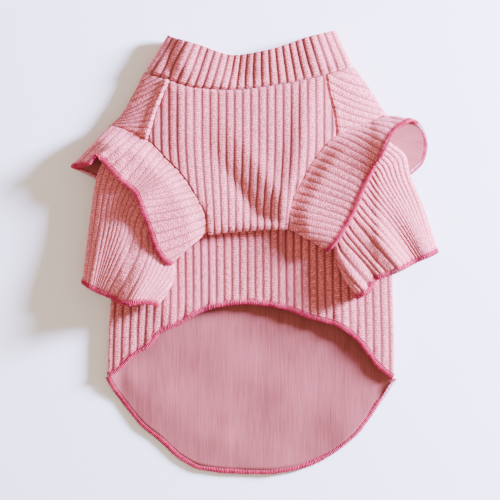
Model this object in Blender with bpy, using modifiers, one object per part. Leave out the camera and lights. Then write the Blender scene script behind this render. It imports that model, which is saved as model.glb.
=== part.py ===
"""Dog top in ribbed knit, laid flat on its back with the belly side up.

Metres. X runs across the body, Y towards the neck, Z up from the floor. The origin lies on the
flat underside of the back panel. Every table is in shares of the body's width and length.
"""

import math

import bmesh
import bpy
import numpy as np

# Driving sizes
BODY_WIDTH = 0.200
BODY_LENGTH = 0.309
CLOTH = 0.0018
RUFFLE_CLOTH = 0.0016
COLLAR_CLOTH = 0.0030
GROOVE_SHARE = 0.6
GAP = 0.0003
SIDE_RISE = 0.0045
COLLAR_HOLLOW = 0.0095
LEG_HOLLOW = 0.0045
HEM_FLARE = 0.0035
ARMHOLE_WIDTH = 0.018
FOLD_RADIUS = 0.0026
FOLD_STEP = 0.010
CURL_SPREAD = 0.006
TUCK_LENGTH = 0.012
TUCK_LAP = 0.010
TUCK_SPREAD = 0.010
SLEEVE_RISE = 0.014
RUFFLE_WAVE = 0.0012
SWELL_FADE = 0.007
EDGING_WIDTH = 0.0028
EDGING_THICKNESS = 0.0017
RIB_PITCH = 0.0056

# Sizes that follow
SIDE_INNER = SIDE_RISE + GAP
BED_EDGE = 0.86
CHEST_PINCH = 0.87
PINCH_MIDDLE = -0.020 * BODY_WIDTH
LAYER = RUFFLE_CLOTH + 2.5 * GAP

# Rows of (across the width, along the length), from left to right or from the seam to the hem
COLLAR_TOP = [
    (-0.294, 0.487), (-0.185, 0.467), (-0.067, 0.446), (0.067, 0.458), (0.203, 0.485), (0.297, 0.500),
]
NECK_SEAM = [
    (-0.371, 0.410), (-0.283, 0.390), (-0.199, 0.372), (-0.067, 0.367), (0.067, 0.376), (0.259, 0.401),
    (0.357, 0.421),
]
BELLY_HEM = [
    (-0.499, -0.277), (-0.462, -0.259), (-0.409, -0.226), (-0.353, -0.204), (-0.329, -0.178),
    (-0.273, -0.163),
    (-0.168, -0.126), (-0.101, -0.115), (-0.021, -0.110), (0.059, -0.114), (0.140, -0.126), (0.206, -0.143),
    (0.301, -0.160), (0.382, -0.198), (0.448, -0.254), (0.499, -0.281),
]
BACK_HEM = [
    (-0.499, -0.281), (-0.458, -0.324), (-0.371, -0.394), (-0.322, -0.419), (-0.241, -0.466),
    (-0.175, -0.487), (-0.059, -0.496), (0.042, -0.497), (0.140, -0.490), (0.227, -0.472),
    (0.308, -0.441), (0.367, -0.408),
    (0.441, -0.342), (0.499, -0.285),
]

# Rows of (along the length, half width), the outline of the body below the collar
LEFT_SIDE = [
    (-0.290, 0.499), (-0.177, 0.494), (-0.102, 0.487), (0.000, 0.490), (0.200, 0.502), (0.270, 0.500),
    (0.300, 0.466), (0.351, 0.416), (0.412, 0.371), (0.430, 0.360),
]
RIGHT_SIDE = [
    (-0.290, 0.499), (-0.177, 0.497), (-0.052, 0.491), (0.100, 0.488), (0.270, 0.487), (0.308, 0.477),
    (0.344, 0.438), (0.381, 0.402), (0.422, 0.357), (0.435, 0.350),
]

# Rows of (along the length, height in metres) of the inner face along the middle of each panel
BELLY_CROWN = [(-0.300, 0.0068), (-0.110, 0.0075), (0.030, 0.0092), (0.100, 0.0085), (0.300, 0.0080)]
CHEST_CROWN = [(0.030, 0.0185), (0.120, 0.0183), (0.250, 0.0170), (0.360, 0.0140), (0.430, 0.0128)]

# Chest panel: the seams on its two sides, each running down from the neck, then the armholes
LEFT_RAGLAN = [(-0.283, 0.390), (-0.326, 0.322), (-0.360, 0.251)]
RIGHT_RAGLAN = [(0.259, 0.401), (0.270, 0.360), (0.287, 0.317), (0.299, 0.261)]
LEFT_ARMHOLE = [
    (-0.500, 0.283), (-0.423, 0.270), (-0.360, 0.251), (-0.290, 0.206), (-0.245, 0.177), (-0.203, 0.136),
    (-0.168, 0.093), (-0.150, 0.045),
]
RIGHT_ARMHOLE = [
    (0.478, 0.305), (0.389, 0.285), (0.336, 0.272), (0.299, 0.261), (0.266, 0.245), (0.210, 0.197),
    (0.178, 0.159), (0.134, 0.091), (0.136, 0.048),
]
CHEST_FOLD = [(-0.147, 0.036), (-0.060, 0.043), (0.080, 0.048), (0.133, 0.046)]

# Soft swells and dents: middle across and along as shares of the body's sizes, half sizes across and
# along, turn in degrees, height in metres
BELLY_SWELLS = [
    (-0.33, -0.10, 0.09, 0.09, 0, 0.0014),
    (0.00, -0.05, 0.20, 0.12, 0, -0.0008),
    (0.33, -0.14, 0.08, 0.10, 0, 0.0014),
    (0.14, -0.02, 0.06, 0.07, -30, -0.0005),
]
CHEST_SWELLS = [
    (-0.060, 0.140, 0.085, 0.150, 34, -0.0036),
    (0.060, 0.150, 0.050, 0.130, 34, 0.0010),
    (0.115, 0.106, 0.045, 0.110, -16, 0.0026),
    (0.185, 0.276, 0.050, 0.120, -8, 0.0018),
    (-0.235, 0.300, 0.060, 0.120, 6, 0.0016),
]
COLLAR_SWELLS = [
    (-0.240, 0.430, 0.050, 0.200, -12, 0.0024),
    (-0.290, 0.430, 0.025, 0.200, -15, -0.0016),
    (-0.060, 0.420, 0.090, 0.200, 0, -0.0020),
    (0.235, 0.440, 0.060, 0.200, 10, 0.0020),
]

# Ruffles: free edge of the front and of the back, outer outline and underarm line, seam to hem,
# and folds: place at the seam and at the hem, half width, height in metres
UPPER_LEFT = {
    "front": [
        (-0.626, 0.197), (-0.556, 0.203), (-0.529, 0.218), (-0.481, 0.187), (-0.436, 0.158), (-0.397, 0.136),
        (-0.371, 0.095), (-0.343, 0.048), (-0.319, 0.005), (-0.280, -0.024), (-0.259, -0.007),
    ],
    "back": [
        (-0.626, 0.197), (-0.546, 0.174), (-0.465, 0.127), (-0.389, 0.059), (-0.319, 0.009),
        (-0.259, -0.007),
    ],
    "outer": [(-0.500, 0.283), (-0.563, 0.240), (-0.626, 0.197)],
    "inner": [(-0.150, 0.045), (-0.203, 0.018), (-0.259, -0.007)],
    "folds": [(0.22, 0.30, 0.12, 0.0030), (0.80, 0.82, 0.16, 0.0030)],
}
UPPER_RIGHT = {
    "front": [
        (0.549, 0.301), (0.493, 0.276), (0.469, 0.254), (0.445, 0.213), (0.423, 0.193), (0.382, 0.140),
        (0.353, 0.095), (0.315, 0.052), (0.280, 0.018), (0.252, 0.006),
    ],
    "back": [
        (0.549, 0.301), (0.595, 0.283), (0.612, 0.249), (0.599, 0.211), (0.556, 0.183), (0.469, 0.127),
        (0.364, 0.054), (0.252, 0.006),
    ],
    "outer": [(0.478, 0.305), (0.515, 0.305), (0.549, 0.301)],
    "inner": [(0.136, 0.048), (0.196, 0.028), (0.252, 0.006)],
    "folds": [(0.15, 0.22, 0.20, 0.0056), (0.75, 0.75, 0.20, -0.0004)],
}
LOWER_LEFT = {
    "front": [
        (-0.588, -0.062), (-0.535, -0.084), (-0.490, -0.095), (-0.423, -0.113), (-0.402, -0.109),
        (-0.357, -0.108), (-0.319, -0.116),
    ],
    "outer": [(-0.475, 0.256), (-0.538, 0.174), (-0.563, 0.079), (-0.588, -0.062)],
    "inner": [
        (-0.214, 0.050), (-0.260, 0.022), (-0.297, -0.012), (-0.267, -0.045), (-0.280, -0.077),
        (-0.319, -0.116),
    ],
    "folds": [(0.12, 0.10, 0.06, 0.0010), (0.56, 0.66, 0.14, 0.0044)],
}
LOWER_RIGHT = {
    "front": [
        (0.651, 0.007), (0.599, -0.009), (0.542, -0.025), (0.500, -0.040), (0.427, -0.058), (0.416, -0.070),
        (0.406, -0.082), (0.364, -0.099),
    ],
    "outer": [
        (0.432, 0.272), (0.486, 0.247), (0.546, 0.213), (0.556, 0.183), (0.599, 0.116), (0.651, 0.007),
    ],
    "inner": [
        (0.196, 0.059), (0.245, 0.040), (0.295, 0.015), (0.300, -0.018), (0.318, -0.048), (0.347, -0.082),
        (0.364, -0.099),
    ],
    "folds": [
        (0.35, 0.13, 0.07, 0.0022), (0.50, 0.28, 0.05, -0.0012), (0.62, 0.42, 0.08, 0.0034),
        (0.80, 0.74, 0.05, -0.0012), (0.97, 0.93, 0.06, 0.0016),
    ],
}

# Counts
CHEST_ROWS = 8
BELLY_ROWS = 3
CAP_RIBS = 8
CAP_ROWS = 3
UPPER_RIBS = 20
UPPER_ROWS = 3
LOWER_RIBS = 20
LOWER_ROWS = 5

# Rows of (place in a rib, share of the cloth's thickness)
ROUND_RIB = [(0.0, 1.0), (0.5, GROOVE_SHARE)]
FLAT_RIB = [(0.3, 1.0), (0.5, GROOVE_SHARE), (0.7, 1.0)]


def smooth(low, high, value):
    share = min(max((value - low) / (high - low), 0.0), 1.0)
    return share * share * (3 - 2 * share)


def mix(first, second, share):
    return first + (second - first) * share


def through(stations, values):
    """A curve through the values that never swings past them."""
    stations = np.asarray(stations, float)
    values = np.asarray(values, float)
    steps = np.diff(stations)
    rises = np.diff(values) / steps
    slopes = np.zeros(len(values))
    slopes[0] = rises[0]
    slopes[-1] = rises[-1]
    for i in range(1, len(values) - 1):
        if rises[i - 1] * rises[i] > 0:
            slopes[i] = 2 * rises[i - 1] * rises[i] / (rises[i - 1] + rises[i])

    def at(station):
        station = min(max(station, stations[0]), stations[-1])
        i = min(int(np.searchsorted(stations, station, side="right")) - 1, len(steps) - 1)
        t = (station - stations[i]) / steps[i]
        start = (2 * t**3 - 3 * t**2 + 1) * values[i] + (t**3 - 2 * t**2 + t) * steps[i] * slopes[i]
        end = (3 * t**2 - 2 * t**3) * values[i + 1] + (t**3 - t**2) * steps[i] * slopes[i + 1]
        return start + end

    return at


def in_metres(rows):
    return [np.array((across * BODY_WIDTH, along * BODY_LENGTH)) for across, along in rows]


def path(points):
    """A plan curve through the points, read by its share of the length."""
    lengths = [0.0]
    for start, end in zip(points, points[1:]):
        lengths.append(lengths[-1] + float(np.linalg.norm(end - start)))
    stations = np.array(lengths) / lengths[-1]
    across = through(stations, [point[0] for point in points])
    along = through(stations, [point[1] for point in points])
    return lambda share: np.array((across(share), along(share)))


def line(points):
    """A curve along the length, read by its place across the width."""
    return through([point[0] for point in points], [point[1] for point in points])


def by_length(rows, unit):
    return through([row[0] * BODY_LENGTH for row in rows], [row[1] * unit for row in rows])


left_half = by_length(LEFT_SIDE, BODY_WIDTH)
right_half = by_length(RIGHT_SIDE, BODY_WIDTH)
belly_crown = by_length(BELLY_CROWN, 1.0)
chest_crown = by_length(CHEST_CROWN, 1.0)


def half_width(side, y):
    return left_half(y) if side < 0 else right_half(y)


def reach(x, y):
    """How far out a point lies, as a share of the body's half width there."""
    return abs(x) / half_width(x, y)


def dome(share):
    return math.sqrt(max(0.0, 1 - min(share, 1.0) ** 3))


def swell(x, y, rows):
    """Height that a table of soft swells and dents adds at a place."""
    total = 0.0
    for across, along, wide, long, turned, height in rows:
        dx = x - across * BODY_WIDTH
        dy = y - along * BODY_LENGTH
        c = math.cos(math.radians(turned))
        s = math.sin(math.radians(turned))
        u = (dx * c + dy * s) / (wide * BODY_WIDTH)
        v = (dy * c - dx * s) / (long * BODY_LENGTH)
        total += height * math.exp(-1.5 * (u * u + v * v))
    return total


def belly_height(x, y):
    share = reach(x, y)
    calm = 1 - smooth(0.60, 0.84, share)
    return SIDE_INNER + (belly_crown(y) - SIDE_INNER) * dome(share) + swell(x, y, BELLY_SWELLS) * calm


def chest_height(x, y):
    return SIDE_INNER + (chest_crown(y) - SIDE_INNER) * dome(reach(x, y))


def back_height(x, y):
    return CLOTH + (SIDE_RISE - CLOTH) * smooth(0.86, 1.0, reach(x, y)) ** 2


def bed_height(x, y):
    """Top of what a sleeve lies on: the belly panel, and the floor outside it."""
    share = reach(x, y)
    if share < BED_EDGE:
        return belly_height(x, y) + CLOTH
    brink = SIDE_INNER + (belly_crown(y) - SIDE_INNER) * dome(BED_EDGE) + CLOTH
    return brink * (1 - smooth(BED_EDGE, 1.34, share)) + 2 * GAP * smooth(BED_EDGE, 0.92, share)


def object_from(name, bm, colour, roughness):
    mesh = bpy.data.meshes.new(name)
    bm.to_mesh(mesh)
    bm.free()
    ob = bpy.data.objects.new(name, mesh)
    parts.objects.link(ob)
    mat = bpy.data.materials.new(name)
    mat.use_nodes = True
    shader = mat.node_tree.nodes["Principled BSDF"]
    shader.inputs["Base Color"].default_value = (*colour, 1.0)
    shader.inputs["Roughness"].default_value = roughness
    shader.inputs["Metallic"].default_value = 0.0
    mesh.materials.append(mat)
    return ob


def sheet(name, ribs, rows, place, thickness, colour, closed=False, shape=ROUND_RIB):
    """Ribbed cloth: its smooth inner face is placed, and it grows outwards, less in the grooves."""
    marks = [((rib + at) / ribs, share) for rib in range(ribs) for at, share in shape]
    if marks[0][0] > 0:
        marks = [(0.0, 1.0)] + marks
    marks.append((1.0, 1.0))
    columns = len(marks) - 1
    bm = bmesh.new()
    bmesh.ops.create_grid(bm, x_segments=columns, y_segments=rows, size=1.0)
    weights = bm.verts.layers.deform.verify()
    for vert in bm.verts:
        across, share = marks[round((vert.co.x + 1) / 2 * columns)]
        vert[weights][0] = share
        vert.co = place(across, round((1 - vert.co.y) / 2 * rows) / rows)
    if closed:
        bmesh.ops.remove_doubles(bm, verts=bm.verts, dist=0.00001)
    ob = object_from(name, bm, colour, 0.85)
    ob.vertex_groups.new(name="ribs")
    solid = ob.modifiers.new("thickness", "SOLIDIFY")
    solid.thickness = thickness
    solid.offset = 1.0
    solid.use_rim = True
    solid.vertex_group = "ribs"
    solid.thickness_vertex_group = 0.0
    return ob


def band(name, centres, outs, ups, closed):
    """Overlock edging: an oval thread band swept along a free edge."""
    bm = bmesh.new()
    section = [(0.2, 1.0), (1.0, 0.0), (0.2, -1.0), (-1.0, -0.7), (-1.0, 0.7)]
    loops = []
    for centre, out, up in zip(centres, outs, ups):
        loop = []
        for along, high in section:
            co = centre + out * (along * EDGING_WIDTH / 2) + up * (high * EDGING_THICKNESS / 2)
            loop.append(bm.verts.new(co))
        loops.append(loop)
    pairs = list(zip(loops, loops[1:] + loops[:1])) if closed else list(zip(loops, loops[1:]))
    for first, second in pairs:
        for i in range(len(section)):
            j = (i + 1) % len(section)
            bm.faces.new((first[i], first[j], second[j], second[i]))
    if not closed:
        bm.faces.new(loops[0])
        bm.faces.new(loops[-1])
    bmesh.ops.recalc_face_normals(bm, faces=bm.faces)
    return object_from(name, bm, EDGE_PINK, 0.7)


def edge_band(name, place, rows, thickness, count, closed):
    """Edging along the last row of a sheet, beyond it by the gap and half its own width."""
    centres, outs, ups = [], [], []
    last = 1 - 0.25 / rows
    steps = count if closed else count + 1
    for i in range(steps):
        share = i / count
        hem = np.array(place(share, 1.0))
        out = hem - np.array(place(share, last))
        out /= np.linalg.norm(out)
        before = place((share - 1 / count) % 1.0 if closed else max(share - 1 / count, 0.0), 1.0)
        after = place((share + 1 / count) % 1.0 if closed else min(share + 1 / count, 1.0), 1.0)
        run = np.array(after) - np.array(before)
        run /= np.linalg.norm(run)
        out -= run * np.dot(out, run)
        out /= np.linalg.norm(out)
        up = np.cross(out, run)
        up /= np.linalg.norm(up)
        centres.append(hem + up * (thickness / 2) + out * (GAP + EDGING_WIDTH / 2))
        outs.append(out)
        ups.append(up)
    return band(name, centres, outs, ups, closed)


# Start from an empty scene
for ob in list(bpy.data.objects):
    bpy.data.objects.remove(ob)
parts = bpy.data.collections.new("dog_top")
bpy.context.scene.collection.children.link(parts)

CLOTH_PINK = (0.62, 0.36, 0.39)
EDGE_PINK = (0.62, 0.10, 0.20)


# Body: the back panel on the floor, the belly panel over it, the chest and shoulders above
def share_line(rows):
    points = in_metres(rows)
    return through([x / half_width(x, y) for x, y in points], [y for x, y in points])


def plan_x(share, y):
    return share * half_width(share, y)


neck_rows = in_metres(NECK_SEAM)
neck_line = line(neck_rows)
body_neck = through(
    [-1 + i / 12 for i in range(25)],
    [neck_line(mix(neck_rows[0][0], neck_rows[-1][0], i / 24)) for i in range(25)],
)
back_hem = share_line(BACK_HEM)
belly_hem = share_line(BELLY_HEM)
BACK_STATIONS = [0.0, 0.075, 0.15, 0.18, 0.6, 1.0]


def place_back(across, along):
    share = 1 - 2 * across
    row = along * (len(BACK_STATIONS) - 1)
    low = min(int(row), len(BACK_STATIONS) - 2)
    part = mix(BACK_STATIONS[low], BACK_STATIONS[low + 1], row - low)
    y = mix(body_neck(share) - GAP, back_hem(share), part)
    x = plan_x(share, y)
    return x, y, back_height(x, y)


def arm_back(points, side):
    """The hidden back half of an armhole, bowed outwards from the front half."""
    front = path(points)
    chord = front(1.0) - front(0.0)
    out = np.array((side * -chord[1], side * chord[0])) / np.linalg.norm(chord)
    return lambda share: front(share) + out * ARMHOLE_WIDTH * math.sin(math.pi * share)


left_arm = in_metres(LEFT_ARMHOLE)
right_arm = in_metres(RIGHT_ARMHOLE)
fold_rows = in_metres(CHEST_FOLD)
left_under = arm_back(left_arm, 1.0)
right_under = arm_back(right_arm, -1.0)
belly_top_points = [left_under(i / 8) for i in range(8)]
belly_top_points += [point + np.array((0.0, TUCK_LAP)) for point in fold_rows[1:3]]
belly_top_points += [right_under(i / 8) for i in range(7, -1, -1)]
belly_shares = [x / half_width(x, y) for x, y in belly_top_points]
belly_shares[0] = -1.0
belly_shares[-1] = 1.0
belly_top = through(belly_shares, [y for x, y in belly_top_points])


def place_belly(across, along):
    share = 2 * across - 1
    y = mix(belly_top(share) - 3 * GAP, belly_hem(share), along)
    x = plan_x(share, y)
    return x, y, belly_height(x, y)


# Chest panel: ribs run down it and draw together towards its lower edge, which turns under
def pinch(y):
    return mix(CHEST_PINCH, 1.0, smooth(0.02 * BODY_LENGTH, 0.26 * BODY_LENGTH, y))


def pinched(column, y):
    return PINCH_MIDDLE + (column - PINCH_MIDDLE) * pinch(y)


def column_of(x, y):
    return PINCH_MIDDLE + (x - PINCH_MIDDLE) / pinch(y)


def column_line(points):
    """A lower or upper edge read by column: the points are taken in order and never double back."""
    columns, heights = [], []
    for x, y in points:
        column = column_of(x, y)
        if not columns or column > columns[-1] + 0.00001:
            columns.append(column)
            heights.append(y)
    return columns[0], columns[-1], lambda column: float(np.interp(column, columns, heights))


def nearest_share(curve, point):
    shares = [i / 400 for i in range(401)]
    return min(shares, key=lambda share: float(np.linalg.norm(curve(share) - point)))


def stretch(curve, start, end, count):
    return [curve(mix(start, end, i / count)) for i in range(count + 1)]


raglan_left = path(in_metres(LEFT_RAGLAN))
raglan_right = path(in_metres(RIGHT_RAGLAN))
arm_left = path(left_arm)
arm_right = path(right_arm)
left_meet = nearest_share(arm_left, raglan_left(1.0))
right_meet = nearest_share(arm_right, raglan_right(1.0))
neck_run = []
for i in range(61):
    x = mix(raglan_left(0.0)[0], raglan_right(0.0)[0], i / 60)
    neck_run.append(np.array((x, neck_line(x))))
chest_left, chest_right, chest_top = column_line(
    stretch(raglan_left, 1.0, 0.0, 40) + neck_run + stretch(raglan_right, 0.0, 1.0, 40)
)
fold_top = max(fold_rows[0][1], fold_rows[-1][1]) + FOLD_STEP
left_run = [point for point in stretch(arm_left, left_meet, 1.0, 200) if point[1] > fold_top]
right_run = [point for point in stretch(arm_right, 1.0, right_meet, 200) if point[1] > fold_top]
fold_line = line(fold_rows)
fold_left = column_of(*left_run[-1]) + CLOTH
fold_right = column_of(*right_run[0]) - 3 * GAP
low_left, low_right, chest_arms = column_line(left_run + right_run)
chest_left = max(chest_left, low_left) + 2 * GAP
chest_right = min(chest_right, low_right) - 2 * GAP
FLAT_SHARE = 0.5


def chest_low(column):
    if column <= fold_left or column >= fold_right:
        return chest_arms(column)
    return fold_line(PINCH_MIDDLE + (column - PINCH_MIDDLE) * CHEST_PINCH)


def place_chest(across, along):
    column = mix(chest_left, chest_right, across)
    curl = smooth(fold_left - CURL_SPREAD, fold_left, column)
    curl *= 1 - smooth(fold_right, fold_right + CURL_SPREAD, column)
    tuck = smooth(fold_left, fold_left + TUCK_SPREAD, column)
    tuck *= 1 - smooth(fold_right - TUCK_SPREAD, fold_right, column)
    top = chest_top(column) - GAP
    low = max(chest_low(column - 3 * GAP), chest_low(column), chest_low(column + 3 * GAP)) + GAP
    low = min(low + curl * (CLOTH + FOLD_RADIUS), top - 3 * GAP)
    flat = top - low
    turned = max(along - FLAT_SHARE, 0.0) / (1 - FLAT_SHARE) * 4
    folded = flat * min(along / FLAT_SHARE, 1.0) + math.pi * FOLD_RADIUS * min(turned, 3.0) / 3
    folded += TUCK_LENGTH * tuck * max(turned - 3, 0.0)
    run = mix(flat * along, folded, curl)
    y = top - min(run, flat)
    x = pinched(column, y)
    calm = smooth(0.0, SWELL_FADE, run) * mix(1.0, smooth(0.0, SWELL_FADE, flat - run), curl)
    z = chest_height(x, y) + swell(x, y, CHEST_SWELLS) * calm
    if run > flat:
        angle = min((run - flat) / FOLD_RADIUS, math.pi)
        back = max(run - flat - math.pi * FOLD_RADIUS, 0.0)
        y = y - FOLD_RADIUS * math.sin(angle) + back
        z = z - FOLD_RADIUS + FOLD_RADIUS * math.cos(angle)
    return x, y, z


def patch(seam, hem, outer, inner):
    """A plan surface spanned by four curves, from the seam to the hem and from outline to underarm."""

    def at(share, along):
        point = (1 - along) * seam(share) + along * hem(share)
        point = point + (1 - share) * outer(along) + share * inner(along)
        point = point - (1 - share) * (1 - along) * seam(0.0) - share * (1 - along) * seam(1.0)
        return point - (1 - share) * along * hem(0.0) - share * along * hem(1.0)

    return at


# Shoulder caps: ribs run from the chest's seam outwards
def cap(raglan, neck_corner, outline, arm, meet, side):
    shift = np.array((side * GAP, 0.0))
    drop = np.array((0.0, GAP))
    neck_start = raglan(0.0)[0] + side * GAP
    outer_line = path([neck_corner - drop] + outline + [arm(0.0) + 2 * drop])

    def neck(share):
        x = mix(neck_start, neck_corner[0], share)
        return np.array((x, neck_line(x) - GAP))

    def low(share):
        return arm(meet * (1 - share)) + 2 * drop

    def inner_line(share):
        return raglan(share) + shift + (3 * share - 1) * drop

    plan = patch(neck, low, inner_line, outer_line)

    def place(across, along):
        down = across if side < 0 else 1 - across
        x, y = plan(1 - (1 - along) ** 1.3, down)
        return x, y, chest_height(x, y)

    return place


left_outline = in_metres([(-0.416, 0.351), (-0.466, 0.300)])
right_outline = in_metres([(0.402, 0.381), (0.438, 0.344)])
place_cap_left = cap(raglan_left, neck_rows[0], left_outline, arm_left, left_meet, -1.0)
place_cap_right = cap(raglan_right, neck_rows[-1], right_outline, arm_right, right_meet, 1.0)


# Ruffled sleeves: each a flattened tube round the leg opening
def turn(share):
    """Height of a tube's wall between its two folds, as a share of half its height."""
    return (1 - abs(2 * share - 1) ** 4) ** 0.25


def sleeve(rows, arm, side, lower):
    front_arm = path(arm)
    chord = front_arm(1.0) - front_arm(0.0)
    out = np.array((side * -chord[1], side * chord[0])) / np.linalg.norm(chord)
    marks = [front_arm(i / 40) for i in range(41)]
    outer = in_metres(rows["outer"])
    inner = in_metres(rows["inner"])
    hem = in_metres(rows["front"])
    back_hem_rows = in_metres(rows.get("back", rows["front"]))
    start = outer[0] - front_arm(0.0)
    end = inner[0] - front_arm(1.0)
    lift = out * (3 * GAP)

    def front_seam(share):
        return front_arm(share) + (1 - share) * start + share * end + lift

    def back_seam(share):
        return front_seam(share) + out * ARMHOLE_WIDTH * math.sin(math.pi * share)

    outer_line = path([outer[0] + lift] + outer[1:])
    inner_line = path([inner[0] + lift] + inner[1:])
    front = patch(front_seam, path(hem), outer_line, inner_line)
    back = patch(back_seam, path(back_hem_rows), outer_line, inner_line)
    inset = RUFFLE_CLOTH / float(np.linalg.norm(chord)) * 1.2

    def place(across, along):
        ring = across if side < 0 else 1 - across
        on_front = ring <= 0.5
        share = 2 * ring if on_front else 2 - 2 * ring
        level = turn(share)
        share = mix(inset, 1 - inset, share)
        over = (1 + level) / 2 if on_front else (1 - level) / 2
        x, y = mix(back(share, along), front(share, along), over)
        bed = bed_height(x, y)
        away = min(math.hypot(x - mark[0], y - mark[1]) for mark in marks)
        near = max(chest_height(x, y), bed + 1.3 * LAYER)
        high = mix(near, bed + 3 * LAYER + LEG_HOLLOW, smooth(0, SLEEVE_RISE, away))
        deep = bed + LAYER
        wave = RUFFLE_WAVE
        for at_seam, at_hem, spread, rise in rows["folds"]:
            wave += rise * math.exp(-(((share - mix(at_seam, at_hem, along)) / spread) ** 2))
        if lower:
            beyond = smooth(0.45, 1.0, along)
            high += HEM_FLARE * beyond + wave * beyond - LAYER
            deep += LAYER * (1 - smooth(0.5, 0.8, along))
        else:
            high += wave * along**2
        middle = (high + deep) / 2
        half = max(high - deep, 0.0005) / 2
        return x, y, middle + half * level * (1 if on_front else -1)

    return place


place_upper_left = sleeve(UPPER_LEFT, left_arm, -1.0, False)
place_upper_right = sleeve(UPPER_RIGHT, right_arm, 1.0, False)
place_lower_left = sleeve(LOWER_LEFT, left_arm, -1.0, True)
place_lower_right = sleeve(LOWER_RIGHT, right_arm, 1.0, True)


# Collar: a doubled band, lying as a flattened ring
def oval():
    """Even steps round a flattened ring, from its left fold over the top and back underneath."""
    dense = []
    for i in range(721):
        angle = math.pi - 2 * math.pi * i / 720
        across = math.copysign(abs(math.cos(angle)) ** 0.8, math.cos(angle))
        high = math.copysign(abs(math.sin(angle)) ** 0.8, math.sin(angle))
        dense.append((across, high))
    flatness = COLLAR_HOLLOW / (0.65 * BODY_WIDTH)
    lengths = [0.0]
    for first, second in zip(dense, dense[1:]):
        lengths.append(lengths[-1] + math.hypot(second[0] - first[0], flatness * (second[1] - first[1])))
    stations = np.array(lengths) / lengths[-1]

    def at(share):
        return [float(np.interp(share, stations, [point[i] for point in dense])) for i in range(2)]

    return at


collar_ribs = round(0.65 * BODY_WIDTH * 2 / RIB_PITCH)
collar_oval = oval()
top_rows = in_metres(COLLAR_TOP)


def across_line(rows):
    middle = (rows[0][0] + rows[-1][0]) / 2
    half = (rows[-1][0] - rows[0][0]) / 2
    return middle, half, through([(x - middle) / half for x, y in rows], [y for x, y in rows])


top_middle, top_half, collar_top = across_line(top_rows)
seam_middle = (neck_rows[0][0] + neck_rows[-1][0]) / 2
seam_half = (neck_rows[-1][0] - neck_rows[0][0]) / 2


def collar_seam(share):
    return neck_line(seam_middle + seam_half * share)


def place_collar(across, along):
    share, high = collar_oval(across)
    middle = mix(top_middle, seam_middle, along)
    half = mix(top_half, seam_half, along) - COLLAR_CLOTH
    edge = (seam_half - COLLAR_CLOTH) / seam_half
    y = mix(collar_top(share), collar_seam(share * edge), along)
    x = middle + half * share
    dent = swell(x, y, COLLAR_SWELLS) * max(high, 0.0)
    return x, y, COLLAR_CLOTH + COLLAR_HOLLOW / 2 * (1 + high) + dent


# The pieces
body_ribs = 2 * round(BODY_WIDTH / RIB_PITCH / 2)
chest_ribs = round((chest_right - chest_left) / RIB_PITCH)
sheet("collar", collar_ribs, 2, place_collar, COLLAR_CLOTH, CLOTH_PINK, closed=True)
sheet("back_panel", body_ribs, len(BACK_STATIONS) - 1, place_back, CLOTH, CLOTH_PINK, shape=FLAT_RIB)
sheet("belly_panel", body_ribs, BELLY_ROWS, place_belly, CLOTH, CLOTH_PINK)
sheet("chest_panel", chest_ribs, CHEST_ROWS, place_chest, CLOTH, CLOTH_PINK)
sheet("shoulder_cap_left", CAP_RIBS, CAP_ROWS, place_cap_left, CLOTH, CLOTH_PINK)
sheet("shoulder_cap_right", CAP_RIBS, CAP_ROWS, place_cap_right, CLOTH, CLOTH_PINK)
for label, upper, lower in (
    ("left", place_upper_left, place_lower_left),
    ("right", place_upper_right, place_lower_right),
):
    sheet("upper_ruffle_" + label, UPPER_RIBS, UPPER_ROWS, upper, RUFFLE_CLOTH, CLOTH_PINK, closed=True)
    sheet("lower_ruffle_" + label, LOWER_RIBS, LOWER_ROWS, lower, RUFFLE_CLOTH, CLOTH_PINK, closed=True)
    edge_band("upper_edging_" + label, upper, UPPER_ROWS, RUFFLE_CLOTH, 2 * UPPER_RIBS, True)
    edge_band("lower_edging_" + label, lower, LOWER_ROWS, RUFFLE_CLOTH, 2 * LOWER_RIBS, True)
edge_band("belly_hem_edging", place_belly, BELLY_ROWS, CLOTH, body_ribs, False)
edge_band("back_hem_edging", place_back, len(BACK_STATIONS) - 1, CLOTH, body_ribs, False)
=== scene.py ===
import math

import bmesh
import bpy
import numpy as np
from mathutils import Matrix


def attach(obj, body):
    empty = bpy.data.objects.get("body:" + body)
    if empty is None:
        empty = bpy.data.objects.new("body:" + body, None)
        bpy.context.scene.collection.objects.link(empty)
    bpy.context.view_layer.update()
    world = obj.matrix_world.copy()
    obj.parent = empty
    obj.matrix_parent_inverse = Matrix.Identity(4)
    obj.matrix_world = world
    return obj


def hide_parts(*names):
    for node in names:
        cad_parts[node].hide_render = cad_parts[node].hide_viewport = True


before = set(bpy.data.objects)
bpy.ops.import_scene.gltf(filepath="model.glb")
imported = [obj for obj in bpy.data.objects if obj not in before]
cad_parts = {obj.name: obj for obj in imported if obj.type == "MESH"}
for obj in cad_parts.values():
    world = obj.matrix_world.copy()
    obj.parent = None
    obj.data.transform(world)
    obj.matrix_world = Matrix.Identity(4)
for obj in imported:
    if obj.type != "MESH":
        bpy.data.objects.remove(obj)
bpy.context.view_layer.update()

# Back panel
# One long piece of ribbed knit that the top lies on, its smooth reverse showing inside the body.
# Cut in one with the tail end; its curved hem is overlocked, and its sides are seamed to the belly panel.
BODY_WIDTH = 0.200
BODY_LENGTH = 0.309
CLOTH = 0.0018
GAP = 0.0003
SIDE_RISE = 0.0045
SIDE_INNER = SIDE_RISE + GAP
RIB_PITCH = 0.0056
NECK_SEAM = [
    (-0.371, 0.410), (-0.283, 0.390), (-0.199, 0.372), (-0.067, 0.367), (0.067, 0.376), (0.259, 0.401),
    (0.357, 0.421),
]
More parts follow.
